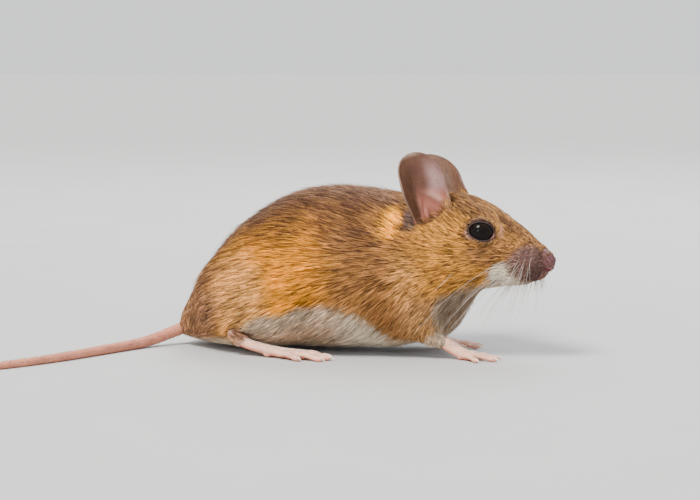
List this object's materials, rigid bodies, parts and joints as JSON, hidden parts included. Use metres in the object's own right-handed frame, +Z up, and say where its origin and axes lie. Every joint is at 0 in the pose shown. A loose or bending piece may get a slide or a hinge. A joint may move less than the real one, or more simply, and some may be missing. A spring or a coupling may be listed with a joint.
{
  "type": "field mouse",
  "caption": "Life-size still field mouse (wood mouse) crouched on four feet, head turned a little, with large cupped ears and a long thin tail lying on the floor.",
  "frame": {"origin": "on the floor, under the middle of the whole part's box, tail included", "axes": "+X the way the trunk points, towards the nose; +Y to the mouse's left; +Z up"},
  "size_m": [0.1372, 0.0786, 0.041],
  "materials": {
    "coat": "soft agouti fur, ochre flanks under a darker brown back",
    "pale_coat": "soft whitish grey fur of the throat and belly",
    "bare_skin": "thin pink skin with fine pale hairs, ringed on the tail",
    "ear_skin": "thin brownish pink skin with very short hairs",
    "nose_skin": "bare moist pinkish skin",
    "eye": "wet glossy black"
  },
  "bodies": {
    "root": {"trunk": "coat", "neck": "coat", "head": "coat", "lower_jaw": "pale_coat", "nose": "nose_skin", "eye_left": "eye", "eye_right": "eye", "ear_left": "ear_skin", "ear_right": "ear_skin", "fore_leg_left": "coat", "fore_leg_right": "coat", "fore_foot_left": "bare_skin", "fore_foot_right": "bare_skin", "hind_leg_left": "coat", "hind_leg_right": "coat", "hind_foot_left": "bare_skin", "hind_foot_right": "bare_skin", "tail_1": "bare_skin", "tail_2": "bare_skin", "tail_3": "bare_skin", "tail_4": "bare_skin"}
  },
  "joints": []
}
